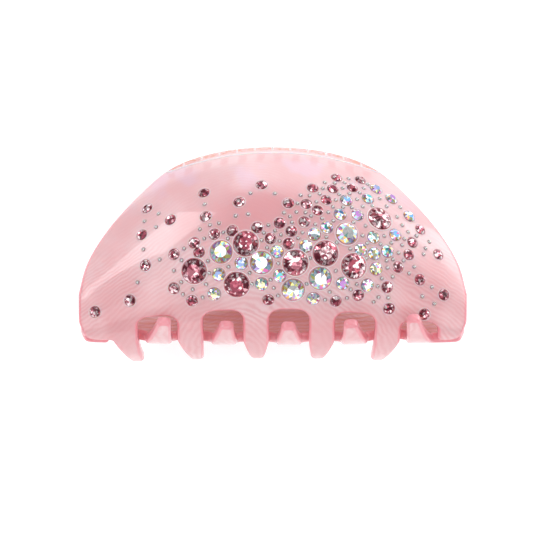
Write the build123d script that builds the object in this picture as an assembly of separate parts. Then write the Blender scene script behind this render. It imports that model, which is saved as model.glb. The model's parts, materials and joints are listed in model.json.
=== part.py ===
"""Rhinestone hair claw clip: two domed acetate jaws on a sprung hinge, set with stones.

Units are millimetres. The clip is closed and lies on its rear jaw.
X runs along the hinge pin, +Y from the teeth to the grip edges, +Z up.
The origin is under the middle of the clip, on the surface that it lies on.

A jaw is drawn by three measures: x along the hinge, rise from the bottom of the
teeth, and bulge outward from the parting plane between the two jaws.
"""

from build123d import *
from itertools import combinations
from math import cos, hypot, radians, sin, sqrt
import os

os.makedirs("parts", exist_ok=True)

# ---- driving dimensions of the jaws ----
JAW_HEIGHT = 47.0
HALF_WIDTH = 44.0
BULGE = 19.0
BULGE_RISE = 24.0
SHEET = 2.4
GRIP_RADIUS = 28.5
TOOTH_CURL_RADIUS = 24.0
REST_CLEARANCE = 0.85
PARTING_HEIGHT = BULGE + REST_CLEARANCE
MID_RISE = JAW_HEIGHT / 2

# The right half of a jaw's outline seen from the front: (x, rise).
OUTLINE = [
    (0, JAW_HEIGHT), (11.5, 46.1), (23, 42), (32, 33), (38, 25.8), (42.2, 18.3),
    (HALF_WIDTH, 10.5),
]
OUTLINE_FOOT = [(HALF_WIDTH - 0.3, 4), (HALF_WIDTH - 3, -6)]

# The dome falls away from its middle line by FALL * rise / (rise + FALL_RISE) * x * x.
FALL = 0.0155
FALL_RISE = 20.0

# ---- teeth ----
TOOTH_PITCH = 14.8
TOOTH_PLACES = [(i - 2) * TOOTH_PITCH - 3.75 for i in range(5)]
TOOTH_WIDTH = 5.9
TOOTH_TIP_WIDTH = 2.9
TOOTH_LEAN = 0.93
GAP_TOP = 9.1
GAP_TOP_FALL = 0.0038
TIP_REACH = 8.7
TIP_REACH_GAIN = 0.003
CORNER_CLEAR = 0.4
CORNER_START = 37.2

# ---- hinge ----
HINGE_RISE = 34.0
PIN_RADIUS = 1.0
PIN_HALF_LENGTH = 10.2
PIN_END_COVER = 0.7
RUNNING_CLEARANCE = 0.05
LUG_RADIUS = 3.0
LUG_THICKNESS = 2.9
LUG_INNER = 3.1
LUG_OUTER = 6.2
LUG_ROOT = 9.0
CAP_RADIUS = 2.1
CAP_ROUND = 0.6
SPRING_MEAN_RADIUS = 1.75
SPRING_WIRE = 0.9
SPRING_TURNS = 5
SPRING_PITCH = 1.05
SPRING_LEG = 10.2
SPRING_LEG_ANGLE = 46

# ---- stone sizes: girdle radius, seat depth, height over the seat rim ----
LARGE = (2.7, 1.1, 0.95)
POINTED = (2.7, 1.1, 1.15)
MEDIUM = (2.4, 1.0, 0.9)
SMALL = (1.4, 0.8, 0.65)
TINY = (1.2, 0.7, 0.6)
SEAT_CLEARANCE = 0.04
GIRDLE_HEIGHT = 0.15
GIRDLE_DEPTH_SHARE = 0.35
CULET_SHARE = 0.55
FLAT_TABLE_SHARE = 0.62
POINT_SHARE = 0.12
BEAD_RADIUS = 0.45
BEAD_SINK = 0.4

# ---- stone places (x, rise) on the jaw ----
LARGE_ROSE = [(-6, 17), (-17.5, 12), (-8, 9), (5, 13), (11.7, 15.2), (18, 13)]
POINTED_ROSE = [(24, 25)]
LARGE_AURORA = [(-11.5, 15.5), (-2.5, 13), (16.5, 20), (10.5, 10.2), (4.5, 8)]
SMALL_AURORA = [
    (23.5, 33.5), (21.5, 30), (27, 31.5), (16.5, 28.5), (15, 24.5), (19, 25),
    (31, 27.5), (12, 21), (9.2, 19.2), (22.5, 20), (27.5, 21.5), (7.3, 16.5),
    (0.9, 15.2), (19.6, 16.7), (22.6, 16.2), (25.6, 17.2), (23, 13),
    (-7, 13), (-12, 11), (1.5, 10.5), (-2.5, 9), (-13, 7.5), (9, 6.6),
    (15.5, 9.5), (21, 9.5),
]
SMALL_ROSE = [
    (-2.5, 31.5), (-15.5, 30.5), (-7.5, 27), (-28.5, 29), (-23, 24.5),
    (-15, 24), (-9, 20), (-3.5, 20.5), (-29.5, 22), (-13, 19.5),
    (-17.5, 18), (-22, 16), (-16.4, 15.8), (-28.5, 14.5), (14.5, 35),
    (20, 35.5), (9, 31), (13.5, 31.3), (18, 32.5), (3.5, 26.5), (7.5, 26.5),
    (12, 28), (10, 25), (7, 22), (1.5, 21.5), (4.1, 19.7), (-0.5, 18),
    (3.5, 16.9), (33.5, 24.5), (31.5, 20.5), (30.5, 17.3), (37.5, 19),
    (28, 14), (33, 12), (25.5, 9.5), (19, 7.5), (38.5, 9.5), (26, 5.5),
    (34, 5), (14, 6.3), (-1, 6.3), (-22, 9), (-18, 6.5), (-32, 7.5), (-40, 6),
]

# ---- beads between stones ----
STONE_GAP_MIN = 1.3
STONE_GAP_MAX = 5.5
BEAD_TO_STONE = 0.68
BEAD_TO_BEAD = 1.25


def place(x, rise, bulge):
    """A point given by the jaw's three measures."""
    return Vector(x, rise - MID_RISE, PARTING_HEIGHT + bulge)


def fall(x, rise):
    """How far the dome has fallen back at x."""
    return FALL * rise / (rise + FALL_RISE) * x * x


def outer_bulge(x, rise):
    """The outer surface's distance from the parting plane, above the tooth curl."""
    radius = GRIP_RADIUS if rise > BULGE_RISE else TOOTH_CURL_RADIUS
    middle = BULGE - radius + sqrt(radius**2 - (rise - BULGE_RISE) ** 2)
    return middle - fall(x, rise)


def seat_plane(x, rise):
    """The plane that touches the outer surface at x and rise, facing outward."""
    step = 0.05
    slope_x = (outer_bulge(x + step, rise) - outer_bulge(x - step, rise)) / (2 * step)
    slope_rise = (outer_bulge(x, rise + step) - outer_bulge(x, rise - step)) / (2 * step)
    return Plane(
        origin=place(x, rise, outer_bulge(x, rise)),
        z_dir=Vector(-slope_x, -slope_rise, 1),
    )


# ---------------------------------------------------------------- jaw shell


def sheet_point(x, angle, depth):
    """A point of the sheet's section at x: angle up from the bulge, depth inward."""
    radius = GRIP_RADIUS if angle > 0 else TOOTH_CURL_RADIUS
    outer_rise = BULGE_RISE + radius * sin(radians(angle))
    rise = BULGE_RISE + (radius - depth) * sin(radians(angle))
    bulge = BULGE - radius + (radius - depth) * cos(radians(angle))
    return place(x, rise, bulge - fall(x, outer_rise))


def sheet_section(x):
    """The sheet cut across at x, from above the grip edge to the ends of the teeth."""
    angles = [70, 52, 34, 17, 0, -20, -40, -60, -80, -100, -120]
    outer = [sheet_point(x, angle, 0) for angle in angles]
    inner = [sheet_point(x, angle, SHEET) for angle in angles]
    edges = [
        Spline(*outer),
        Line(outer[-1], inner[-1]),
        Spline(*reversed(inner)),
        Line(inner[0], outer[0]),
    ]
    return Face(Wire(edges))


def domed_sheet():
    """The formed sheet before it is cut to its outline, through sections along x."""
    stations = [-46, -34.5, -23, -11.5, 0, 11.5, 23, 34.5, 46]
    return Solid.make_loft([sheet_section(x).outer_wire() for x in stations])


def outline_block():
    """The D outline of a jaw, seen from the front, as a block to keep."""
    right = [(x, rise - MID_RISE) for x, rise in OUTLINE]
    low_right = [(x, rise - MID_RISE) for x, rise in OUTLINE_FOOT]
    left = [(-x, y) for x, y in reversed(right)]
    low_left = [(-x, y) for x, y in reversed(low_right)]
    top = Spline(*left, *right[1:])
    foot = Polyline(right[-1], *low_right, *low_left, left[0])
    outline = make_face([top, *foot.edges()])
    past_both_jaws = 2 * PARTING_HEIGHT + 10
    return extrude(outline, past_both_jaws, both=True)


def tooth_outline(root):
    """One tooth seen from below: straight at the root, then drawn in to a round tip."""
    half = TOOTH_WIDTH / 2
    tip_half = TOOTH_TIP_WIDTH / 2
    tip = root * TOOTH_LEAN
    reach = TIP_REACH + TIP_REACH_GAIN * root**2
    above_gaps = GAP_TOP + 4
    sides = Polyline(
        (tip - tip_half, tip_half - reach),
        (root - half, 0),
        (root - half, above_gaps),
        (root + half, above_gaps),
        (root + half, 0),
        (tip + tip_half, tip_half - reach),
    )
    end = ThreePointArc(
        (tip + tip_half, tip_half - reach),
        (tip, -reach),
        (tip - tip_half, tip_half - reach),
    )
    return make_face([*sides.edges(), end])


def gap_outline(left, right):
    """A gap between teeth, with a rounded top."""
    middle = (left + right) / 2
    top = GAP_TOP - GAP_TOP_FALL * middle**2
    depth = 20
    round_top = 2.6
    shape = RectangleRounded(right - left, depth, round_top)
    return Pos(middle, top - depth / 2) * shape


def comb_cutter():
    """What is cut away between and beyond the teeth, cut straight up from below."""
    past_tips = 18
    past_sides = 2 * HALF_WIDTH + 8
    below = Rectangle(past_sides, past_tips, align=(Align.CENTER, Align.MAX))
    waste = Pos(0, CORNER_CLEAR) * below
    edges = [tooth + TOOTH_WIDTH / 2 for tooth in TOOTH_PLACES]
    ends = [tooth - TOOTH_WIDTH / 2 for tooth in TOOTH_PLACES[1:]] + [CORNER_START]
    for left, right in zip(edges, ends):
        waste += gap_outline(left, right)
    for tooth in TOOTH_PLACES:
        waste -= tooth_outline(tooth)
    start_rise = -6
    cut_rise = 22
    plan = Plane(origin=place(0, start_rise, 0), x_dir=(1, 0, 0), z_dir=(0, -1, 0))
    return extrude(plan * waste, -cut_rise)


def jaw_blank():
    """A jaw before its teeth are cut."""
    return domed_sheet() & outline_block()


def largest_solid(shape):
    """The largest solid of a shape, without loose slivers."""
    return max(shape.solids(), key=lambda solid: solid.volume)


# ---------------------------------------------------------------- stones


def stone(size, table_share):
    """A round stone on its seat: pavilion below, girdle, sloping crown, flat table."""
    radius, depth, proud = size
    half = Polyline(
        (0, -depth),
        (CULET_SHARE * radius, -depth),
        (radius, -GIRDLE_DEPTH_SHARE * depth),
        (radius, GIRDLE_HEIGHT),
        (table_share * radius, proud),
        (0, proud),
        close=True,
    )
    return revolve(Plane.XZ * make_face(half), Axis.Z)


def seat(radius, depth):
    """A drilled seat, open to the outside."""
    mouth = 3
    return Pos(0, 0, -depth) * Cylinder(
        radius, depth + mouth, align=(Align.CENTER, Align.CENTER, Align.MIN)
    )


def inside_outline(x, rise):
    """Whether a bead at this place stays well inside the jaw's outline."""
    margin = 1.06
    for (x0, top0), (x1, top1) in zip(OUTLINE, OUTLINE[1:]):
        if x0 <= abs(x) * margin <= x1:
            share = (abs(x) * margin - x0) / (x1 - x0)
            return rise * margin < top0 + (top1 - top0) * share
    return False


def bead_places():
    """Beads halfway between neighbouring stones, the closest neighbours first."""
    sized = [(LARGE, LARGE_ROSE), (POINTED, POINTED_ROSE), (MEDIUM, LARGE_AURORA)]
    sized += [(SMALL, SMALL_AURORA), (TINY, SMALL_ROSE)]
    stones = [(x, rise, size[0]) for size, places in sized for x, rise in places]
    pairs = []
    for (x0, rise0, radius0), (x1, rise1, radius1) in combinations(stones, 2):
        apart = hypot(x1 - x0, rise1 - rise0)
        gap = apart - radius0 - radius1
        if STONE_GAP_MIN < gap < STONE_GAP_MAX:
            share = (radius0 + gap / 2) / apart
            pairs.append((gap, x0 + (x1 - x0) * share, rise0 + (rise1 - rise0) * share))
    found = []
    for _, x, rise in sorted(pairs):
        to_stone = min(hypot(x - sx, rise - sr) - radius for sx, sr, radius in stones)
        to_bead = min([hypot(x - bx, rise - br) for bx, br in found] + [BEAD_TO_BEAD])
        clear = to_stone >= BEAD_TO_STONE and to_bead >= BEAD_TO_BEAD
        if clear and inside_outline(x, rise):
            found.append((x, rise))
    return found


def set_group(solid, places):
    """A copy of the solid set square on the dome at each place."""
    return [seat_plane(x, rise).location * solid for x, rise in places]


# ---------------------------------------------------------------- hinge


def lug(x_low, blank):
    """A hinge lug bonded inside the front jaw: a flared arm ending in an eye."""
    arm = Polyline(
        (-LUG_RADIUS, 0),
        (LUG_RADIUS, 0),
        (LUG_ROOT / 2, BULGE),
        (-LUG_ROOT / 2, BULGE),
        close=True,
    )
    side = make_face(arm) + Circle(LUG_RADIUS)
    side -= Circle(PIN_RADIUS + RUNNING_CLEARANCE)
    plane = Plane(origin=place(x_low, HINGE_RISE, 0), x_dir=(0, 1, 0), z_dir=(1, 0, 0))
    raw = extrude(plane * side, LUG_THICKNESS)
    trimmed = raw - blank
    # The piece on the hinge side of the sheet is the lug.
    return min(trimmed.solids(), key=lambda solid: solid.center().Z)


def hinge_pin():
    """The pin that both jaws turn on."""
    along = Plane(origin=place(0, HINGE_RISE, 0), z_dir=(1, 0, 0))
    return along * Cylinder(PIN_RADIUS, 2 * PIN_HALF_LENGTH)


def pin_cap(side):
    """A cap pressed on the end of the pin, with a rounded outer rim."""
    inner = LUG_OUTER + LUG_THICKNESS + RUNNING_CLEARANCE
    thickness = PIN_HALF_LENGTH + PIN_END_COVER - inner
    low = (Align.CENTER, Align.CENTER, Align.MIN)
    cap = Cylinder(CAP_RADIUS, thickness, align=low)
    cap = fillet(cap.edges().group_by(Axis.Z)[-1], CAP_ROUND)
    cap -= Cylinder(PIN_RADIUS, PIN_HALF_LENGTH - inner, align=low)
    along = Plane(origin=place(0, HINGE_RISE, 0), z_dir=(side, 0, 0))
    return along * Pos(0, 0, inner) * cap


def leg(start_x, direction):
    """A straight leg of the spring, from the coil to just short of a jaw's inside."""
    angle = radians(SPRING_LEG_ANGLE)
    toward = Vector(0, cos(angle), direction * sin(angle))
    beside = Vector(0, sin(angle), -direction * cos(angle))
    start = place(start_x, HINGE_RISE, 0) - beside * SPRING_MEAN_RADIUS
    body = Plane(origin=start, z_dir=toward) * Cylinder(
        SPRING_WIRE / 2, SPRING_LEG, align=(Align.CENTER, Align.CENTER, Align.MIN)
    )
    return body + Pos(*start) * Sphere(SPRING_WIRE / 2)


def torsion_spring():
    """A coil round the pin with a leg pressing on each jaw."""
    height = SPRING_TURNS * SPRING_PITCH
    path = Helix(SPRING_PITCH, height, SPRING_MEAN_RADIUS)
    profile = Plane(origin=path @ 0, z_dir=path % 0) * Circle(SPRING_WIRE / 2)
    coil = sweep(profile, path=path, is_frenet=True)
    along = Plane(
        origin=place(-height / 2, HINGE_RISE, 0), x_dir=(0, 0, 1), z_dir=(1, 0, 0)
    )
    spring = along * coil
    spring += leg(-height / 2, -1)
    spring += leg(height / 2, 1)
    return spring


# ---------------------------------------------------------------- assembly


def turned(shape):
    """The same piece on the other jaw: a half turn about the clip's upright line."""
    return shape.rotate(Axis((0, 0, PARTING_HEIGHT), (0, 1, 0)), 180)


def save(name, pieces):
    """Write the pieces as one node."""
    solids = [solid for piece in pieces for solid in piece.solids()]
    shape = solids[0] if len(solids) == 1 else Compound(solids)
    export_step(shape, f"parts/{name}.step")


def build():
    """Make every piece of the clip."""
    blank = jaw_blank()
    jaw = largest_solid(blank - comb_cutter())

    groups = {
        "large_rose_stones": (LARGE, LARGE_ROSE),
        "pointed_rose_stone": (POINTED, POINTED_ROSE),
        "large_aurora_stones": (MEDIUM, LARGE_AURORA),
        "small_aurora_stones": (SMALL, SMALL_AURORA),
        "small_rose_stones": (TINY, SMALL_ROSE),
    }
    seats = []
    settings = {}
    for name, (size, places) in groups.items():
        table_share = POINT_SHARE if size is POINTED else FLAT_TABLE_SHARE
        settings[name] = set_group(stone(size, table_share), places)
        seats += set_group(seat(size[0] + SEAT_CLEARANCE, size[1]), places)
    beads = bead_places()
    bead = Pos(0, 0, BEAD_RADIUS - BEAD_SINK) * Sphere(BEAD_RADIUS)
    settings["silver_beads"] = set_group(bead, beads)
    seats += set_group(seat(BEAD_RADIUS + SEAT_CLEARANCE, BEAD_SINK), beads)
    jaw = largest_solid(jaw.cut(*[s for item in seats for s in item.solids()]))

    save("front_jaw", [jaw])
    save("rear_jaw", [turned(jaw)])
    for name, pieces in settings.items():
        save(f"front_{name}", pieces)
        save(f"rear_{name}", [turned(piece) for piece in pieces])

    left_lug = lug(-LUG_OUTER - LUG_THICKNESS, blank)
    right_lug = lug(LUG_INNER, blank)
    save("front_left_lug", [left_lug])
    save("front_right_lug", [right_lug])
    save("rear_right_lug", [turned(left_lug)])
    save("rear_left_lug", [turned(right_lug)])
    save("hinge_pin", [hinge_pin()])
    save("left_pin_cap", [pin_cap(-1)])
    save("right_pin_cap", [pin_cap(1)])
    save("torsion_spring", [torsion_spring()])


build()
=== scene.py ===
"""The looks of the rhinestone hair clip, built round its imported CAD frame. Metres, Z up."""

import json
import random
from math import asin, cos, pi, radians, sin, sqrt, tan

import bmesh
import bpy
import numpy as np
from mathutils import Matrix, Vector, geometry


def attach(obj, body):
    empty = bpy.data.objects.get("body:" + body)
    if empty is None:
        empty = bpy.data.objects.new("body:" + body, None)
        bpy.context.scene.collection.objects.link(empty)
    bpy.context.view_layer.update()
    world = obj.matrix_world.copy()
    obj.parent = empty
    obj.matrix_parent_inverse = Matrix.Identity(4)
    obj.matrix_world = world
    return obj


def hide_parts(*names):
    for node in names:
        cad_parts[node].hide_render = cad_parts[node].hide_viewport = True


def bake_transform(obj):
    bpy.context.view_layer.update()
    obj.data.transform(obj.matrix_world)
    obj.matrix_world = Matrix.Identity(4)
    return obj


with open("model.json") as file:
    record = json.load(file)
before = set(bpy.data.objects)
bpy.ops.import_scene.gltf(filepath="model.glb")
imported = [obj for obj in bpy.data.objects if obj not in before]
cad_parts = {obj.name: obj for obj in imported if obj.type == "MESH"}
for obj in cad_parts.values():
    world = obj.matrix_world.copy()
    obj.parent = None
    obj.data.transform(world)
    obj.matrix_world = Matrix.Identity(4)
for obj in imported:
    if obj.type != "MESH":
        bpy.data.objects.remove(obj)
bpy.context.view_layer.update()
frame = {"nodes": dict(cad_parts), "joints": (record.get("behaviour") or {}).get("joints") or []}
random.seed(7)

MM = 0.001

# ---- the jaw's dome and teeth, in millimetres, as the CAD has them ----
JAW_HEIGHT = 47.0
HALF_WIDTH = 44.0
BULGE = 19.0
BULGE_RISE = 24.0
SHEET = 2.4
GRIP_RADIUS = 28.5
CURL_RADIUS = 24.0
FALL = 0.0155
FALL_RISE = 20.0
PARTING = frame["joints"][0]["pos_m"][2] / MM
MID_RISE = JAW_HEIGHT / 2

TOOTH_PITCH = 14.8
TOOTH_PLACES = [(i - 2) * TOOTH_PITCH - 3.75 for i in range(5)]
TOOTH_WIDTH = 5.9
TOOTH_TIP_WIDTH = 2.9
TOOTH_LEAN = 0.93
GAP_TOP = 9.1
GAP_TOP_FALL = 0.0038
TIP_REACH = 8.7
TIP_REACH_GAIN = 0.003
CORNER_CLEAR = 0.4
CORNER_START = 37.2
GAP_ROUND = 2.6
SIDE = [
    (0, JAW_HEIGHT), (11.5, 46.1), (23, 42), (32, 33), (38, 25.8), (42.2, 18.3),
    (HALF_WIDTH, 10.5),
]

# ---- the outline's corners: the foot is further in and rounder than the CAD's ----
LOW_SIDE_IN = 0.25
LOW_SIDE_RISE = 4
LOW_SIDE_ROUND = 3.0
FOOT_IN = 1.7
FOOT_ROUND = 3.6
ROOT_ROUND = 4.0
TIP_ROUND = 1.35
LEFT_CORNER_ROUND = 0.8
RIGHT_CORNER_ROUND = 1.0

# ---- the worked band along the grip edge, in the looks alone ----
BAND_HALF = 25.0
BAND_WIDTH = 6.0
NOTCH_PITCH = 4.1
RIB_COUNT = 11
LINE_RADIUS = 0.18
RIB_RADIUS = 0.11

# ---- how finely the jaw is drawn ----
OUTLINE_SPACING = 0.36
GRID_SPACING = 0.85
GRID_CLEAR = 0.4
RIM_ROUND = 0.75
RIM_STEPS = 5
RIM_FADE = 0.9

# ---- stones: girdle radius, depth under the surface, height over it ----
LARGE = (2.7, 1.1, 0.95)
POINTED = (2.7, 1.1, 1.15)
MEDIUM = (2.4, 1.0, 0.9)
SMALL = (1.4, 0.8, 0.65)
TINY = (1.2, 0.7, 0.6)
BEAD_RADIUS = 0.4
BEAD_SINK = 0.4


# ------------------------------------------------------------------ the dome


def fall(x, rise):
    """How far the dome has fallen back at x."""
    return FALL * rise / (rise + FALL_RISE) * x * x


def sheet_points(flat, depth):
    """Points of the curved sheet from (x, distance along the section) pairs."""
    x, along = flat[:, 0], flat[:, 1]
    radius = np.where(along > 0, GRIP_RADIUS, CURL_RADIUS)
    angle = along / radius
    outer_rise = BULGE_RISE + radius * np.sin(angle)
    rise = BULGE_RISE + (radius - depth) * np.sin(angle)
    bulge = BULGE - radius + (radius - depth) * np.cos(angle)
    bulge -= fall(x, outer_rise)
    return np.stack([x, rise - MID_RISE, PARTING + bulge], axis=1) * MM


def along_at_rise(rise):
    """The distance along the section, from the bulge, where the dome has this rise."""
    radius = GRIP_RADIUS if rise > BULGE_RISE else CURL_RADIUS
    return radius * asin((rise - BULGE_RISE) / radius)


def along_at_bulge(x, bulge):
    """The distance along the section, under the bulge, where the dome has this bulge."""
    rise = 2.0
    tries = 12
    for _ in range(tries):
        middle = bulge + fall(x, rise)
        angle = np.arccos((middle - BULGE + CURL_RADIUS) / CURL_RADIUS)
        rise = BULGE_RISE - CURL_RADIUS * sin(angle)
    return -CURL_RADIUS * angle


def outer_bulge(x, rise):
    """How far the outer face stands out from the parting plane."""
    radius = GRIP_RADIUS if rise > BULGE_RISE else CURL_RADIUS
    middle = BULGE - radius + sqrt(radius**2 - (rise - BULGE_RISE) ** 2)
    return middle - fall(x, rise)


def outward(x, rise):
    """The dome's outward direction at a place above the tooth curl."""
    step = 0.05
    slope_x = (outer_bulge(x + step, rise) - outer_bulge(x - step, rise)) / (2 * step)
    slope_rise = (outer_bulge(x, rise + step) - outer_bulge(x, rise - step)) / (2 * step)
    return Vector((-slope_x, -slope_rise, 1)).normalized()


# ------------------------------------------------------------------ the jaw's outline


def curve_through(points, pieces=10):
    """A smooth curve through the points (Catmull-Rom)."""
    p = [np.array(q, float) for q in points]
    p = [2 * p[0] - p[1]] + p + [2 * p[-1] - p[-2]]
    out = []
    for a, b, c, d in zip(p, p[1:], p[2:], p[3:]):
        for i in range(pieces):
            t = i / pieces
            out.append(
                0.5 * (2 * b + (c - a) * t + (2 * a - 5 * b + 4 * c - d) * t * t
                       + (3 * b - a - 3 * c + d) * t**3)
            )
    out.append(p[-2])
    return out


def rounded(corners):
    """A path through (point, radius) corners, with each corner turned at its radius."""
    path = []
    steps = 8
    count = len(corners)
    for i in range(count):
        corner, radius = corners[i]
        here = np.array(corner, float)
        if radius == 0:
            path.append(here)
            continue
        back = np.array(corners[i - 1][0], float) - here
        on = np.array(corners[(i + 1) % count][0], float) - here
        back /= np.linalg.norm(back)
        on /= np.linalg.norm(on)
        half = 0.5 * np.arccos(np.clip(back @ on, -1, 1))
        middle = (back + on) / np.linalg.norm(back + on)
        centre = here + middle * radius / sin(half)
        start = here + back * radius / tan(half) - centre
        end = here + on * radius / tan(half) - centre
        turn = np.arccos(np.clip(start @ end / radius**2, -1, 1))
        for k in range(steps + 1):
            t = k / steps
            path.append(centre + (start * sin((1 - t) * turn) + end * sin(t * turn)) / sin(turn))
    return path


def tooth_corners(root):
    """One tooth from its right root to its left root, laid flat."""
    half, tip_half = TOOTH_WIDTH / 2, TOOTH_TIP_WIDTH / 2
    tip = root * TOOTH_LEAN
    reach = TIP_REACH + TIP_REACH_GAIN * root**2
    waist = 0.0
    return [
        ((root + half, along_at_bulge(root, waist)), ROOT_ROUND),
        ((tip + tip_half, along_at_bulge(root, -reach)), TIP_ROUND),
        ((tip - tip_half, along_at_bulge(root, -reach)), TIP_ROUND),
        ((root - half, along_at_bulge(root, waist)), ROOT_ROUND),
    ]


def gap_corners(left, right):
    """The arched top of one gap, from right to left, laid flat."""
    middle = (left + right) / 2
    top = along_at_bulge(middle, GAP_TOP - GAP_TOP_FALL * middle**2)
    return [((right, top), GAP_ROUND), ((left, top), GAP_ROUND)]


def grip_line():
    """The outline laid flat, from the right side over the grip edge to the left side."""
    across = [(-x, rise) for x, rise in reversed(SIDE)] + SIDE[1:]
    return [(x, along_at_rise(rise)) for x, rise in reversed(curve_through(across))]


def jaw_outline():
    """The jaw's outline laid flat, as evenly spaced points, counter-clockwise."""
    top = [(point, 0) for point in grip_line()]
    low_side = (HALF_WIDTH - LOW_SIDE_IN, along_at_rise(LOW_SIDE_RISE))
    foot = (HALF_WIDTH - FOOT_IN, along_at_bulge(HALF_WIDTH - FOOT_IN, CORNER_CLEAR))
    right = [(foot, FOOT_ROUND), (low_side, LOW_SIDE_ROUND)]
    left = [((-x, along), radius) for (x, along), radius in reversed(right)]
    edges = [tooth + TOOTH_WIDTH / 2 for tooth in TOOTH_PLACES]
    ends = [tooth - TOOTH_WIDTH / 2 for tooth in TOOTH_PLACES[1:]] + [CORNER_START]
    first = TOOTH_PLACES[0] - TOOTH_WIDTH / 2
    bottom = [((first, along_at_bulge(first, CORNER_CLEAR)), LEFT_CORNER_ROUND)]
    for number, (tooth, gap) in enumerate(zip(TOOTH_PLACES, zip(edges, ends))):
        corners = list(reversed(tooth_corners(tooth)))
        # The first tooth's outer side leaves the jaw's corner with no waist.
        bottom += corners[1:] if number == 0 else corners
        bottom += list(reversed(gap_corners(*gap)))
    last = (CORNER_START, along_at_bulge(CORNER_START, CORNER_CLEAR))
    bottom.append((last, RIGHT_CORNER_ROUND))
    path = np.array(rounded(top + left + bottom + right))
    return even(path, OUTLINE_SPACING)


def even(path, spacing):
    """The closed path again, with points at even spacing."""
    closed = np.vstack([path, path[:1]])
    lengths = np.hypot(*np.diff(closed, axis=0).T)
    total = np.concatenate([[0], np.cumsum(lengths)])
    count = int(total[-1] / spacing)
    wanted = np.linspace(0, total[-1], count, endpoint=False)
    return np.stack([np.interp(wanted, total, closed[:, k]) for k in (0, 1)], axis=1)


def moved_in(path, distance):
    """The closed counter-clockwise path, moved inward."""
    ahead = np.roll(path, -1, axis=0) - np.roll(path, 1, axis=0)
    ahead /= np.linalg.norm(ahead, axis=1)[:, None]
    return path + distance * np.stack([-ahead[:, 1], ahead[:, 0]], axis=1)


def inside(points, path):
    """Which points lie inside the closed path."""
    x, y = points[:, 0], points[:, 1]
    result = np.zeros(len(points), bool)
    for (x0, y0), (x1, y1) in zip(path, np.roll(path, -1, axis=0)):
        if y0 == y1:
            continue
        crosses = (y0 > y) != (y1 > y)
        result ^= crosses & (x < (x1 - x0) * (y - y0) / (y1 - y0) + x0)
    return result


def distance_to(points, path):
    """Each point's distance to the nearest point of the path."""
    near = np.empty(len(points))
    batch = 2000
    for i in range(0, len(points), batch):
        part = points[i : i + batch]
        gap = part[:, None, :] - path[None, :, :]
        near[i : i + batch] = np.sqrt((gap**2).sum(2).min(1))
    return near


def jaw_mesh(name):
    """The whole jaw as one closed mesh: two faces and a rounded rim between them."""
    outline = jaw_outline()
    count = len(outline)
    inner_line = moved_in(outline, RIM_ROUND)
    low, high = outline.min(0), outline.max(0)
    xs = np.arange(low[0], high[0], GRID_SPACING)
    ys = np.arange(low[1], high[1], GRID_SPACING)
    grid = np.stack(np.meshgrid(xs, ys), -1).reshape(-1, 2)
    grid = grid[inside(grid, inner_line)]
    grid = grid[distance_to(grid, inner_line) > GRID_CLEAR]
    flat = np.vstack([inner_line, grid])
    keep_inside, merge_within = 1, 1e-5
    out, _, triangles, origins, *_ = geometry.delaunay_2d_cdt(
        [Vector(p) for p in flat], [], [list(range(count))], keep_inside, merge_within
    )
    flat = np.array([tuple(p) for p in out])
    place_of = {old: new for new, olds in enumerate(origins) for old in olds}
    rim = [place_of[i] for i in range(count)]

    total = len(flat)
    verts = [sheet_points(flat, 0), sheet_points(flat, SHEET)]
    faces = [tuple(t) for t in triangles]
    faces += [tuple(total + i for i in reversed(t)) for t in triangles]
    closeness = np.exp(-distance_to(flat, outline) / RIM_FADE)
    near_edge = [closeness, closeness]
    grip = np.array(grip_line())
    from_grip = distance_to(flat, grip)
    grip_gap = [from_grip, from_grip]
    inner_face = [np.zeros(total), np.ones(total)]
    loops = [rim]
    start = 2 * total
    turns = [(RIM_ROUND * (1 - sin(a)), RIM_ROUND * (1 - cos(a)))
             for a in [radians(90) * k / RIM_STEPS for k in range(1, RIM_STEPS + 1)]]
    levels = turns + [(inset, SHEET - depth) for inset, depth in reversed(turns)]
    for inset, depth in levels:
        verts.append(sheet_points(moved_in(outline, inset), depth))
        near_edge.append(np.ones(count))
        grip_gap.append(distance_to(outline, grip))
        inner_face.append(np.zeros(count))
        loops.append(list(range(start, start + count)))
        start += count
    loops.append([total + i for i in rim])
    for upper, lower in zip(loops, loops[1:]):
        for i in range(count):
            j = (i + 1) % count
            faces.append((upper[i], lower[i], lower[j], upper[j]))
    mesh = bpy.data.meshes.new(name)
    mesh.from_pydata(np.vstack(verts).tolist(), [], faces)
    kept = {"near_edge": near_edge, "grip_gap": grip_gap, "inner_face": inner_face}
    for label, values in kept.items():
        attribute = mesh.attributes.new(label, "FLOAT", "POINT")
        attribute.data.foreach_set("value", np.concatenate(values).astype(np.float32))
    mesh.polygons.foreach_set("use_smooth", [True] * len(mesh.polygons))
    mesh.update()
    return mesh


def new_object(name, mesh, body, nodes, materials):
    """A piece that rides on a body and stands in for the CAD nodes it replaces."""
    obj = bpy.data.objects.new(name, mesh)
    bpy.context.scene.collection.objects.link(obj)
    for material in materials:
        mesh.materials.append(material)
    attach(obj, body)
    if nodes:
        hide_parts(*nodes)
    return obj


HALF_TURN = Matrix.Translation((0, 0, 2 * PARTING * MM)) @ Matrix.Rotation(pi, 4, "Y")


def turned(mesh, name):
    """A copy of the mesh on the other jaw."""
    copy = mesh.copy()
    copy.name = name
    copy.transform(HALF_TURN)
    return copy


# ------------------------------------------------------------------ materials

ACETATE_PALE = (0.81, 0.49, 0.515, 1)
ACETATE_PEARL = (0.86, 0.61, 0.635, 1)
ACETATE_DEEP = (0.72, 0.30, 0.33, 1)
COPPER = (0.74, 0.33, 0.24, 1)
LILAC = (0.80, 0.60, 0.78, 1)
ACETATE_EDGE = (0.84, 0.22, 0.29, 1)
NOTCH_HIGHLIGHT = (0.98, 0.78, 0.78, 1)
FACET_SPARK = (1, 0.90, 0.92, 1)
FACETS_BELOW = 1700.0


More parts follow.
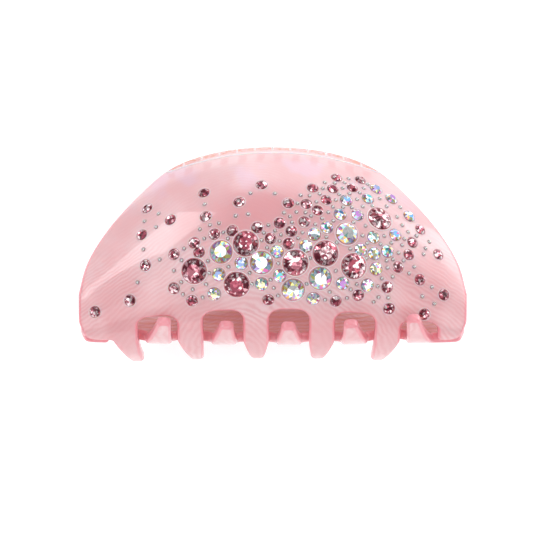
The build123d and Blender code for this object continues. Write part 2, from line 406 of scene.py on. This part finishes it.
class Nodes:
    """Short calls for building one material's node tree."""

    def __init__(self, name):
        self.material = bpy.data.materials.new(name)
        self.material.use_nodes = True
        self.tree = self.material.node_tree
        self.shader = self.tree.nodes["Principled BSDF"]

    def add(self, kind, **settings):
        node = self.tree.nodes.new(kind)
        for key, value in settings.items():
            setattr(node, key, value)
        return node

    def link(self, source, target):
        self.tree.links.new(source, target)

    def feed(self, socket, value):
        if isinstance(value, bpy.types.NodeSocket):
            self.link(value, socket)
        else:
            socket.default_value = value

    def math(self, operation, *values):
        node = self.add("ShaderNodeMath", operation=operation)
        for socket, value in zip(node.inputs, values):
            self.feed(socket, value)
        return node.outputs[0]

    def noise(self, vector, scale, detail=2.0):
        node = self.add("ShaderNodeTexNoise")
        self.link(vector, node.inputs["Vector"])
        node.inputs["Scale"].default_value = scale
        node.inputs["Detail"].default_value = detail
        return node.outputs["Fac"]

    def mix(self, share, first, second):
        node = self.add("ShaderNodeMix", data_type="RGBA")
        self.feed(node.inputs[0], share)
        self.feed(node.inputs[6], first)
        self.feed(node.inputs[7], second)
        return node.outputs[2]

    def span(self, value, low, high, to_low=0.0, to_high=1.0):
        node = self.add("ShaderNodeMapRange", interpolation_type="SMOOTHSTEP")
        for socket, number in zip(node.inputs, (value, low, high, to_low, to_high)):
            self.feed(socket, number)
        return node.outputs[0]

    def bump(self, height, distance, strength=1.0):
        node = self.add("ShaderNodeBump")
        self.link(height, node.inputs["Height"])
        node.inputs["Distance"].default_value = distance
        node.inputs["Strength"].default_value = strength
        return node.outputs["Normal"]

    def finish(self, **inputs):
        for key, value in inputs.items():
            self.feed(self.shader.inputs[key.replace("_", " ")], value)
        return self.material


def banded(n, colour, place, x):
    """The grip edge's band: copper flecks between notches with a painted highlight, and shades below
    it.
    """
    gap = n.add("ShaderNodeAttribute", attribute_name="grip_gap").outputs["Fac"]
    share = n.math("DIVIDE", x, BAND_HALF)
    shrink = n.math("SUBTRACT", 1.0, n.math("MULTIPLY", share, share))
    width = n.math("MULTIPLY", n.math("SQRT", n.math("MAXIMUM", shrink, 0.001)), BAND_WIDTH)
    down = n.math("DIVIDE", gap, width)
    wobble = n.math("MULTIPLY", n.noise(place, 300.0, 2.0), 1.6)
    wave = n.math("COSINE", n.math("MULTIPLY", x, 2 * pi / NOTCH_PITCH))
    soft_wave = n.math("COSINE", n.math("MULTIPLY", n.math("ADD", x, wobble), 2 * pi / NOTCH_PITCH))
    flecks = n.span(n.noise(place, 900.0, 3.0), 0.42, 0.60, 0.15, 0.9)
    band = n.span(down, 0.74, 0.60, 0.0, 1.0)
    colour = n.mix(n.math("MULTIPLY", band, flecks), colour, COPPER)
    # Painted highlight: the notches are lightened as if light caught in their grooves.
    notch = n.math("MULTIPLY", band, n.span(wave, 0.90, 0.98, 0.0, 0.85))
    colour = n.mix(notch, colour, NOTCH_HIGHLIGHT)
    below = n.math("MULTIPLY", n.span(down, 1.05, 1.2, 0.0, 1.0), n.span(down, 2.0, 1.5, 0.0, 1.0))
    shade = n.math("MULTIPLY", below, n.span(soft_wave, 0.4, -0.9, 0.0, 0.4))
    return n.mix(shade, colour, ACETATE_DEEP), band


def acetate(name, ripple_strength=1.0, side=1, grip_band=True):
    """Milky pink sheet: fine chevron ripples and clouds under a polished coat, with painted shade in
    the middle and on the teeth, and a faint painted glow.
    """
    n = Nodes(name)
    place = n.add("ShaderNodeTexCoord").outputs["Object"]
    split = n.add("ShaderNodeSeparateXYZ")
    n.link(place, split.inputs[0])
    x = n.math("MULTIPLY", split.outputs["X"], side / MM)
    y = n.math("MULTIPLY", split.outputs["Y"], 1 / MM)
    wander = n.noise(place, 420.0, 2.0)
    drift = n.noise(place, 60.0, 2.0)
    peak, slope, peak_round = -7.5, 0.55, 3.0
    from_peak = n.math("SUBTRACT", x, peak)
    squared = n.math("MULTIPLY", from_peak, from_peak)
    rounded_off = n.math("SQRT", n.math("ADD", squared, peak_round**2))
    chevron = n.math("ADD", y, n.math("MULTIPLY", rounded_off, slope))
    chevron = n.math("ADD", chevron, n.math("MULTIPLY", wander, 1.3))
    chevron = n.math("ADD", chevron, n.math("MULTIPLY", drift, 6.0))
    spacing = 0.98
    ripple = n.math("SINE", n.math("MULTIPLY", chevron, 2 * pi / spacing))
    ripple = n.math("ADD", n.math("MULTIPLY", ripple, 0.5), 0.5)
    patchy = n.span(n.noise(place, 150.0, 1.0), 0.35, 0.65, 0.45, 1.0)
    low_down = n.span(y, 2.0, -14.0, 0.25, 1.0)
    ripple = n.math("MULTIPLY", n.math("MULTIPLY", ripple, patchy), low_down)
    ripple = n.math("MULTIPLY", ripple, ripple_strength)
    cloud = n.noise(place, 70.0, 4.0)
    colour = n.mix(n.span(cloud, 0.35, 0.7), ACETATE_PALE, ACETATE_PEARL)
    # The pearl shows lilac towards the grip edge.
    lilac = n.span(n.noise(place, 110.0, 2.0), 0.5, 0.66, 0.0, 0.4)
    colour = n.mix(n.math("MULTIPLY", lilac, n.span(y, 3.0, 12.0)), colour, LILAC)
    colour = n.mix(n.math("MULTIPLY", ripple, 0.5), colour, ACETATE_DEEP)
    # Painted shade: the middle of the jaw is darkened to a deeper pink, for the shaded hollow behind
    # it.
    aside = n.math("POWER", n.math("DIVIDE", n.math("SUBTRACT", x, 3.0), 24.0), 2.0)
    upward = n.math("POWER", n.math("DIVIDE", n.math("ADD", y, 3.0), 13.0), 2.0)
    hollow_shade = n.span(n.math("ADD", aside, upward), 1.1, 0.1, 0.0, 0.65)
    colour = n.mix(hollow_shade, colour, ACETATE_DEEP)
    # Painted shade too: the teeth are darkened where they curl in towards the parting plane, between
    # the jaws.
    z = n.math("MULTIPLY", split.outputs["Z"], 1 / MM)
    from_parting = n.math("ABSOLUTE", n.math("SUBTRACT", z, PARTING))
    curl_shade = n.math("MULTIPLY", n.span(from_parting, 9.0, 4.0), n.span(y, -12.0, -18.0))
    in_row = n.span(n.math("ABSOLUTE", x), 39.0, 36.0)
    colour = n.mix(n.math("MULTIPLY", n.math("MULTIPLY", curl_shade, in_row), 0.4), colour, ACETATE_DEEP)
    band = 0.0
    if grip_band:
        colour, band = banded(n, colour, place, x)
    # The worked inside shows copper-coloured waves.
    inside_face = n.add("ShaderNodeAttribute", attribute_name="inner_face").outputs["Fac"]
    swell = n.math("ADD", n.math("MULTIPLY", y, 2 * pi / 1.5), n.math("MULTIPLY", wander, 5.0))
    waves = n.span(n.math("SINE", swell), -0.2, 0.9, 0.05, 0.65)
    colour = n.mix(n.math("MULTIPLY", inside_face, waves), colour, COPPER)
    edge = n.add("ShaderNodeAttribute", attribute_name="near_edge").outputs["Fac"]
    at_rim = n.math("POWER", edge, 3.0)
    colour = n.mix(n.math("MULTIPLY", at_rim, 0.6), colour, ACETATE_EDGE)
    return n.finish(
        Base_Color=colour,
        Roughness=0.3,
        IOR=1.48,
        Transmission_Weight=0.12,
        Subsurface_Weight=0.5,
        Subsurface_Radius=(1.0, 0.55, 0.5),
        Subsurface_Scale=0.002,
        # Painted glow: a faint pink emission stands in for light passing through the translucent
        # sheet.
        Emission_Color=colour,
        Emission_Strength=0.1,
        Coat_Weight=n.span(band, 0.0, 1.0, 0.75, 0.1),
        Specular_IOR_Level=n.span(band, 0.0, 1.0, 0.45, 0.1),
        Coat_Roughness=0.03,
        Coat_IOR=1.5,
        Normal=n.bump(ripple, 0.00003, 0.6),
    )


def stone_material(name, sheen, sheen_share, shadow, dark, spark, coat):
    """Foiled faceted glass: each facet's tint, part stone colour and part painted glints and dark
    facets, broken up by painted shade and sparkle from the facets seen below it.
    """
    n = Nodes(name)
    tint = n.add("ShaderNodeAttribute", attribute_name="tint_and_painted_light").outputs["Color"]
    # Painted sheen: a colour that changes with the viewing angle.
    facing = n.add("ShaderNodeLayerWeight").outputs["Facing"]
    ramp = n.add("ShaderNodeValToRGB")
    n.link(facing, ramp.inputs["Fac"])
    stops = ramp.color_ramp.elements
    stops[0].position, stops[0].color = 0.0, sheen[0]
    stops[1].position, stops[1].color = 1.0, sheen[-1]
    for i, colour in enumerate(sheen[1:-1], start=1):
        stop = stops.new(i / (len(sheen) - 1))
        stop.color = colour
    colour = n.mix(sheen_share, tint, ramp.outputs["Color"])
    place = n.add("ShaderNodeTexCoord").outputs["Object"]
    below = n.add("ShaderNodeTexVoronoi")
    n.link(place, below.inputs["Vector"])
    below.inputs["Scale"].default_value = FACETS_BELOW
    parts = n.add("ShaderNodeSeparateColor")
    n.link(below.outputs["Color"], parts.inputs[0])
    share = parts.outputs[0]
    # Painted shade and painted sparkle from the facets seen below.
    colour = n.mix(n.span(share, 0.42, 0.36, 0.0, dark), colour, shadow)
    colour = n.mix(n.span(share, 0.80, 0.86, 0.0, spark), colour, FACET_SPARK)
    return n.finish(
        Base_Color=colour,
        Metallic=0.8,
        Roughness=0.08,
        IOR=1.6,
        Coat_Weight=coat,
        Coat_Roughness=0.01,
    )


def metal(name, colour, roughness, grain_scale):
    """Plated metal with fine drawn marks."""
    n = Nodes(name)
    place = n.add("ShaderNodeTexCoord").outputs["Object"]
    grain = n.noise(place, grain_scale, 4.0)
    dull = tuple(0.7 * c for c in colour[:3]) + (1,)
    return n.finish(
        Base_Color=n.mix(n.span(grain, 0.35, 0.75, 0.0, 0.6), colour, dull),
        Metallic=1.0,
        Roughness=n.span(grain, 0.3, 0.7, roughness, roughness + 0.15),
        Normal=n.bump(grain, 0.00001, 0.4),
    )


def trim_highlight_material():
    """The polished crest of a raised line in the acetate, painted near white as a highlight."""
    n = Nodes("raised_acetate_highlight")
    place = n.add("ShaderNodeTexCoord").outputs["Object"]
    cloud = n.noise(place, 700.0, 2.0)
    return n.finish(
        # Painted highlight: the crest's near-white colour stands in for the light it catches.
        Base_Color=n.mix(cloud, (0.95, 0.82, 0.84, 1), (1.0, 0.92, 0.93, 1)),
        Roughness=0.2,
        Subsurface_Weight=0.4,
        Subsurface_Scale=0.001,
        Coat_Weight=1.0,
    )


def seat_material():
    """The worked ring round a seat: painted shade beside the stone, a painted highlight on its
    crest.
    """
    n = Nodes("seat_ring")
    place = n.add("ShaderNodeTexCoord").outputs["Object"]
    tint = n.add("ShaderNodeAttribute", attribute_name="tint_and_painted_light").outputs["Color"]
    cloud = n.noise(place, 900.0, 2.0)
    return n.finish(
        Base_Color=n.mix(n.math("MULTIPLY", cloud, 0.3), tint, ACETATE_PEARL),
        Roughness=0.22,
        Subsurface_Weight=0.4,
        Subsurface_Scale=0.001,
        Coat_Weight=1.0,
    )


# ------------------------------------------------------------------ stones

# Facet colours: the stones' own colours, with the palest tints painted glints and the darkest
# painted shade.
ROSE_TABLES = [(0.45, 0.11, 0.16), (0.70, 0.30, 0.36), (0.30, 0.05, 0.08), (0.60, 0.42, 0.44)]
ROSE_TINTS_AND_GLINTS = [
    (0.16, 0.015, 0.03), (0.30, 0.045, 0.07), (0.50, 0.13, 0.18), (0.80, 0.42, 0.48),
    (1.0, 0.82, 0.86), (0.36, 0.06, 0.10), (0.24, 0.025, 0.05), (0.62, 0.13, 0.17),
    (0.88, 0.62, 0.68),
]
WHITE_TABLES = [(1.0, 1.0, 1.0)]
AURORA_TABLES = [
    (1.0, 1.0, 1.0), (0.12, 0.38, 0.80), (0.05, 0.50, 0.55), (0.42, 0.12, 0.50), (1.0, 0.95, 0.45),
    (0.75, 0.92, 1.0), (0.20, 0.30, 0.62),
]
AURORA_TINTS_AND_GLINTS = [
    (0.95, 0.97, 1.0), (1.0, 1.0, 1.0), (0.45, 0.72, 1.0), (0.85, 0.85, 0.20), (0.55, 0.35, 0.85),
    (0.85, 0.42, 0.05), (0.30, 0.75, 0.65), (0.70, 0.12, 0.42), (0.90, 0.92, 0.97),
    (0.30, 0.28, 0.34),
]


def stone_places(node):
    """Where the stones of a CAD group sit: (x, rise) of each, on the front jaw."""
    bm = bmesh.new()
    bm.from_mesh(frame["nodes"][node].data)
    bmesh.ops.remove_doubles(bm, verts=bm.verts, dist=5e-6)
    left = set(bm.verts)
    places = []
    while left:
        group, queue = [], [left.pop()]
        while queue:
            vert = queue.pop()
            group.append(vert.co)
            for edge in vert.link_edges:
                other = edge.other_vert(vert)
                if other in left:
                    left.discard(other)
                    queue.append(other)
        lows = [min(c[k] for c in group) for k in range(3)]
        highs = [max(c[k] for c in group) for k in range(3)]
        centre = Vector([(a + b) / 2 / MM for a, b in zip(lows, highs)])
        x, rise = centre.x, centre.y + MID_RISE
        # The outward direction changes with the place, so the foot is found by repeating.
        for _ in range(8):
            normal = outward(x, rise)
            surface = Vector((x, rise - MID_RISE, PARTING + outer_bulge(x, rise)))
            foot = centre - normal * (centre - surface).dot(normal)
            x, rise = foot.x, foot.y + MID_RISE
        places.append((x, rise))
    bm.free()
    return sorted(places)


def seat_frame(x, rise, spin=0.0):
    """The matrix that sets a stone, drawn upright in millimetres, on the front jaw."""
    up = outward(x, rise)
    origin = Vector((x, rise - MID_RISE, PARTING + outer_bulge(x, rise))) * MM
    turn = up.to_track_quat("Z", "Y").to_matrix().to_4x4()
    return Matrix.Translation(origin) @ turn @ Matrix.Rotation(spin, 4, "Z") @ Matrix.Scale(MM, 4)


def ring(radius, height, count, offset=0.0):
    """Evenly spaced points on a level circle."""
    return [
        (radius * cos(2 * pi * (i + offset) / count), radius * sin(2 * pi * (i + offset) / count),
         height)
        for i in range(count)
    ]


def cut_stone(size, sides, pointed):
    """Vertices and facets of a round cut stone: table, stars, kites, girdle, pavilion."""
    radius, depth, proud = size
    table_share, table_height, dip = (0.3, 0.86, 0.0) if pointed else (0.56, 1.0, 0.06)
    half_step = 0.5
    verts = [(0, 0, proud - dip)]
    verts += ring(table_share * radius, proud * table_height, sides)
    verts += ring(0.8 * radius, 0.55 * proud, sides, half_step)
    verts += ring(radius, 0.16, 2 * sides)
    verts += ring(radius, -0.05, 2 * sides)
    verts += [(0, 0, -depth)]
    table, kite, girdle = 1, 1 + sides, 1 + 2 * sides
    under = girdle + 2 * sides
    tip = under + 2 * sides
    faces = []
    for i in range(sides):
        j = (i + 1) % sides
        faces.append((0, table + i, table + j))
        faces.append((table + i, kite + i, table + j))
        here, there = girdle + 2 * i, girdle + (2 * i + 2) % (2 * sides)
        between = girdle + 2 * i + 1
        faces.append((table + i, here, kite + i))
        faces.append((kite + i, there, table + j))
        faces.append((kite + i, here, between))
        faces.append((kite + i, between, there))
    for i in range(2 * sides):
        j = (i + 1) % (2 * sides)
        faces.append((girdle + i, under + i, under + j, girdle + j))
        faces.append((under + i, tip, under + j))
    return verts, faces


SECTOR_FACETS = 6
TABLE_CHANCE = 0.75
# Painted shade beside a seated stone and painted highlight on its ring's crest.
RING_SHADE = (0.72, 0.24, 0.28)
RING_HIGHLIGHT = (0.97, 0.74, 0.78)


def seat_ring(radius, wide):
    """The worked ring round a seat: its vertices, faces and face tints, with painted shade beside
    the stone and a painted highlight on its crest.
    """
    count = 32
    section = [
        (0.0, -0.2), (0.0, 0.015), (0.55, 0.03), (0.75, 0.07), (0.9, 0.06), (1.0, -0.02),
        (1.0, -0.2),
    ]
    # Painted shade on the inner wall and the underside, painted highlight over the crest.
    shades = [RING_SHADE, RING_SHADE, RING_HIGHLIGHT, RING_HIGHLIGHT, RING_HIGHLIGHT, RING_HIGHLIGHT, RING_SHADE]
    verts = []
    for share, height in section:
        verts += ring(radius + wide * share, height, count)
    faces, tints = [], []
    for level, shade in enumerate(shades):
        a, b = level * count, (level + 1) % len(section) * count
        for i in range(count):
            j = (i + 1) % count
            faces.append((a + i, b + i, b + j, a + j))
            tints.append(shade)
    return (verts, faces), tints


def gather(parts):
    """One mesh's vertices, faces, material numbers and facet tints from placed parts."""
    verts, faces, slots, tints = [], [], [], []
    for matrix, (part_verts, part_faces), slot_number, tint in parts:
        base = len(verts)
        verts += [tuple(matrix @ Vector(v)) for v in part_verts]
        for number, face in enumerate(part_faces):
            faces.append(tuple(base + i for i in face))
            slots.append(slot_number)
            tints.append(tint(number))
    return verts, faces, slots, tints


def placed_mesh(name, parts):
    """A mesh of placed parts, with each face's tint and material number."""
    verts, faces, slots, colours = gather(parts)
    mesh = bpy.data.meshes.new(name)
    mesh.from_pydata(verts, [], faces)
    mesh.polygons.foreach_set("material_index", slots)
    attribute = mesh.attributes.new("tint_and_painted_light", "FLOAT_COLOR", "CORNER")
    spread = [(*colours[p.index], 1.0) for p in mesh.polygons for _ in p.loop_indices]
    attribute.data.foreach_set("color", np.array(spread, np.float32).ravel())
    return mesh


def stone_mesh(name, places, size, tables, tints):
    """A group of stones with the rings round their seats, on the front jaw."""
    large = size[0] > 2
    sides = 10 if large else 7
    shape = cut_stone(size, sides, "pointed" in name)
    edge, edge_tints = seat_ring(size[0] + 0.02, 0.44 if large else 0.3)
    parts = []
    for x, rise in places:
        matrix = seat_frame(x, rise, random.uniform(0, pi))
        # Each facet takes a random tint: stone colour, painted glint or painted shade.
        shades = [random.choice(tints) for _ in shape[1]]
        table = random.choice(tables)
        for i in range(sides):
            if random.random() < TABLE_CHANCE:
                shades[SECTOR_FACETS * i] = table
        parts.append((matrix, shape, 0, shades.__getitem__))
        parts.append((matrix, edge, 1, edge_tints.__getitem__))
    mesh = placed_mesh(name, parts)
    mesh.polygons.foreach_set("use_smooth", [p.material_index == 1 for p in mesh.polygons])
    mesh.update()
    return mesh


def bead_mesh(name, places):
    """Tiny polished balls, each in a small drilled seat."""
    bm = bmesh.new()
    bmesh.ops.create_icosphere(bm, subdivisions=3, radius=BEAD_RADIUS)
    ball = ([tuple(v.co + Vector((0, 0, BEAD_RADIUS - BEAD_SINK))) for v in bm.verts],
            [tuple(v.index for v in f.verts) for f in bm.faces])
    bm.free()
    edge, edge_tints = seat_ring(BEAD_RADIUS + 0.03, 0.2)
    parts = []
    for x, rise in places:
        matrix = seat_frame(x, rise)
        parts.append((matrix, ball, 0, lambda number: (1, 1, 1)))
        parts.append((matrix, edge, 1, edge_tints.__getitem__))
    mesh = placed_mesh(name, parts)
    mesh.polygons.foreach_set("use_smooth", [True] * len(mesh.polygons))
    mesh.update()
    return mesh


# ------------------------------------------------------------------ hinge


def tube(path, radius, sides=14):
    """A round bar along a path of points, with closed ends: vertices and faces."""
    verts, faces = [], []
    tangents = [(path[min(i + 1, len(path) - 1)] - path[max(i - 1, 0)]).normalized()
                for i in range(len(path))]
    across = tangents[0].orthogonal().normalized()
    for point, tangent in zip(path, tangents):
        across = (across - tangent * across.dot(tangent)).normalized()
        other = tangent.cross(across)
        for k in range(sides):
            a = 2 * pi * k / sides
            verts.append(tuple(point + (across * cos(a) + other * sin(a)) * radius))
    for i in range(len(path) - 1):
        for k in range(sides):
            m = (k + 1) % sides
            faces.append((i * sides + k, i * sides + m, (i + 1) * sides + m, (i + 1) * sides + k))
    faces.append(tuple(reversed(range(sides))))
    faces.append(tuple(range((len(path) - 1) * sides, len(path) * sides)))
    return verts, faces


def tube_mesh(name, tubes):
    """One mesh of several bars, smooth along their sides and flat on their ends."""
    verts, faces = [], []
    for part_verts, part_faces in tubes:
        faces += [tuple(len(verts) + i for i in face) for face in part_faces]
        verts += part_verts
    mesh = bpy.data.meshes.new(name)
    mesh.from_pydata(verts, [], faces)
    mesh.polygons.foreach_set("use_smooth", [len(face) == 4 for face in faces])
    mesh.update()
    return mesh


def grip_trim():
    """The fine raised line under the grip edge, and the ribs between it and the edge."""
    line = np.array(sorted(grip_line()))

    def on_sheet(x, share):
        """A point of the outer face: share 0 is on the edge and 1 on the raised line."""
        width = BAND_WIDTH * sqrt(1 - (x / BAND_HALF) ** 2)
        along = np.interp(x, line[:, 0], line[:, 1]) - width * share
        return Vector(sheet_points(np.array([[x, along]]), 0.02)[0])

    half = BAND_HALF - 0.5
    steps = 80
    raised = [on_sheet(-half + 2 * half * i / steps, 1.0) for i in range(steps + 1)]
    tubes = [tube(raised, LINE_RADIUS * MM, 8)]
    for number in range(RIB_COUNT):
        x = (number - RIB_COUNT // 2) * NOTCH_PITCH
        rib = [on_sheet(x, 0.15 + 0.1 * k) for k in range(6)]
        tubes.append(tube(rib, RIB_RADIUS * MM, 8))
    return tube_mesh("front_grip_trim", tubes)


def spring_path():
    """The torsion spring's wire: rear leg, coil, front leg."""
    hinge = Vector(frame["joints"][0]["pos_m"])
    mean, turns, pitch, leg = 1.75 * MM, 5, 1.05 * MM, 10.2 * MM
    angle = radians(46)
    length = turns * pitch
    coil = []
    steps = 40 * turns
    # The coil turns just far enough for both legs to leave it at a tangent.
    rear_out = Vector((0, -sin(angle), -cos(angle)))
    front_out = Vector((0, -sin(angle), cos(angle)))
    first = np.arctan2(rear_out.z, rear_out.y)
    last = np.arctan2(front_out.z, front_out.y)
    sweep_angle = (last - first) % (2 * pi) - 2 * pi * turns
    for i in range(steps + 1):
        t = i / steps
        a = first + sweep_angle * t
        coil.append(hinge + Vector((length * (t - 0.5), mean * cos(a), mean * sin(a))))
    rear_leg = Vector((0, cos(angle), -sin(angle)))
    front_leg = Vector((0, cos(angle), sin(angle)))
    pieces = 12
    rear = [coil[0] + rear_leg * leg * (1 - i / pieces) for i in range(pieces)]
    front = [coil[-1] + front_leg * leg * (i / pieces) for i in range(1, pieces + 1)]
    return rear + coil + front


# ------------------------------------------------------------------ build

pink = acetate("pearly_acetate")
pink_rear = acetate("pearly_acetate_rear", side=-1)
pink_lug = acetate("plain_acetate", ripple_strength=0.4, grip_band=False)
highlight_trim_look = trim_highlight_material()
seat_look = seat_material()
rose = stone_material(
    "rose_stone",
    [(0.5, 0.12, 0.18, 1), (0.85, 0.45, 0.52, 1), (0.3, 0.05, 0.1, 1), (1, 0.8, 0.85, 1)],
    sheen_share=0.08, shadow=(0.14, 0.01, 0.03, 1), dark=0.7, spark=0.85, coat=0.2,
)
aurora = stone_material(
    "aurora_stone",
    [(1, 1, 1, 1), (0.75, 0.95, 1, 1), (0.6, 0.7, 1, 1), (1, 0.75, 0.95, 1), (1, 0.9, 0.5, 1)],
    sheen_share=0.08, shadow=(0.25, 0.3, 0.4, 1), dark=0.12, spark=0.0, coat=0.5,
)
silver = metal("silver_bead", (0.62, 0.63, 0.62, 1), 0.06, 900.0)
steel = metal("plated_steel", (0.60, 0.60, 0.62, 1), 0.22, 1500.0)
wire = metal("spring_wire", (0.66, 0.66, 0.68, 1), 0.2, 1800.0)

front_shell = jaw_mesh("front_jaw_shell")
rear_shell = turned(front_shell, "rear_jaw_shell")
new_object("front_jaw_shell", front_shell, "front_half", ["front_jaw"], [pink])
new_object("rear_jaw_shell", rear_shell, "rear_half", ["rear_jaw"], [pink_rear])
trim = grip_trim()
rear_trim = turned(trim, "rear_grip_trim")
# The raised line and its ribs carry a painted highlight.
new_object("front_grip_trim", trim, "front_half", [], [highlight_trim_look])
new_object("rear_grip_trim", rear_trim, "rear_half", [], [highlight_trim_look])

STONE_GROUPS = {
    "large_rose_stones": (LARGE, ROSE_TABLES, ROSE_TINTS_AND_GLINTS, rose, "rose_stone"),
    "pointed_rose_stone": (POINTED, ROSE_TABLES, ROSE_TINTS_AND_GLINTS, rose, "rose_stone"),
    "large_aurora_stones": (MEDIUM, WHITE_TABLES, AURORA_TINTS_AND_GLINTS, aurora, "aurora_stone"),
    "small_aurora_stones": (SMALL, AURORA_TABLES, AURORA_TINTS_AND_GLINTS, aurora, "aurora_stone"),
    "small_rose_stones": (TINY, ROSE_TABLES, ROSE_TINTS_AND_GLINTS, rose, "rose_stone"),
}
for group, (size, tables, tints, material, slot_name) in STONE_GROUPS.items():
    mesh = stone_mesh(f"front_{group}_cut", stone_places(f"front_{group}"), size, tables, tints)
    other = turned(mesh, f"rear_{group}_cut")
    looks = [material, seat_look]
    new_object(mesh.name, mesh, "front_half", [f"front_{group}"], looks)
    new_object(other.name, other, "rear_half", [f"rear_{group}"], looks)

beads = bead_mesh("front_silver_balls", stone_places("front_silver_beads"))
rear_beads = turned(beads, "rear_silver_balls")
looks = [silver, seat_look]
new_object(beads.name, beads, "front_half", ["front_silver_beads"], looks)
new_object(rear_beads.name, rear_beads, "rear_half", ["rear_silver_beads"], looks)

spring_mesh = tube_mesh("spring_wire", [tube(spring_path(), 0.45 * MM)])
spring = bpy.data.objects.new("spring_wire", spring_mesh)
bpy.context.scene.collection.objects.link(spring)
spring_mesh.materials.append(wire)
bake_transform(spring)
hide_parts("torsion_spring")

for node in ("front_left_lug", "front_right_lug", "rear_left_lug", "rear_right_lug"):
    frame["nodes"][node].data.materials.clear()
    frame["nodes"][node].data.materials.append(pink_lug)
for node in ("hinge_pin", "left_pin_cap", "right_pin_cap"):
    frame["nodes"][node].data.materials.clear()
    frame["nodes"][node].data.materials.append(steel)


# ------------------------------------------------------------------ stage


def floor():
    """The pale surface that the clip lies on."""
    size = 3.0
    mesh = bpy.data.meshes.new("floor")
    corners = [(-size, -size, 0), (size, -size, 0), (size, size, 0), (-size, size, 0)]
    mesh.from_pydata(corners, [], [(0, 1, 2, 3)])
    obj = bpy.data.objects.new("floor", mesh)
    bpy.context.scene.collection.objects.link(obj)
    n = Nodes("pale_floor")
    place = n.add("ShaderNodeTexCoord").outputs["Object"]
    soft = n.noise(place, 6.0, 2.0)
    mesh.materials.append(n.finish(
        Base_Color=n.mix(soft, (0.60, 0.60, 0.60, 1), (0.64, 0.64, 0.64, 1)),
        Roughness=0.7,
        Emission_Color=(1, 1, 1, 1),
        Emission_Strength=0.62,
    ))


def panel(name, azimuth, elevation, distance, width, height, power):
    """A softbox seen from the clip at this azimuth (from +Y towards +X) and elevation."""
    light = bpy.data.lights.new(name, "AREA")
    light.shape = "RECTANGLE"
    light.size, light.size_y, light.energy = width, height, power
    obj = bpy.data.objects.new(name, light)
    a, e = radians(azimuth), radians(elevation)
    toward = Vector((sin(a) * cos(e), cos(a) * cos(e), sin(e)))
    obj.location = toward * distance
    obj.rotation_euler = toward.to_track_quat("Z", "Y").to_euler()
    bpy.context.scene.collection.objects.link(obj)


def lights():
    """A soft white surround and four softboxes."""
    world = bpy.data.worlds.new("studio")
    bpy.context.scene.world = world
    world.use_nodes = True
    background = world.node_tree.nodes["Background"]
    background.inputs["Color"].default_value = (1, 1, 1, 1)
    background.inputs["Strength"].default_value = 0.34
    panel("overhead", 180, 64, 0.9, 1.2, 1.2, 5.6)
    panel("back_panel", 28, 25, 0.8, 1.3, 0.68, 3.2)
    panel("right_panel", 62, 12, 0.7, 0.35, 0.3, 0.9)
    panel("left_panel", -59, 43, 0.7, 0.35, 0.25, 1.0)


def camera():
    """The view from the teeth side, well above the clip."""
    distance = 0.45
    elevation = radians(65)
    sensor = 36
    data = bpy.data.cameras.new("camera")
    data.sensor_width = sensor
    shown_width = 0.1227
    data.lens = sensor * distance / shown_width
    obj = bpy.data.objects.new("camera", data)
    target = Vector((-0.0014, -0.0039, 0.020))
    back = Vector((0, -cos(elevation), sin(elevation)))
    obj.location = target + back * distance
    obj.rotation_euler = back.to_track_quat("Z", "Y").to_euler()
    bpy.context.scene.collection.objects.link(obj)
    bpy.context.scene.camera = obj


floor()
lights()
camera()
bpy.context.scene.view_settings.view_transform = "Standard"
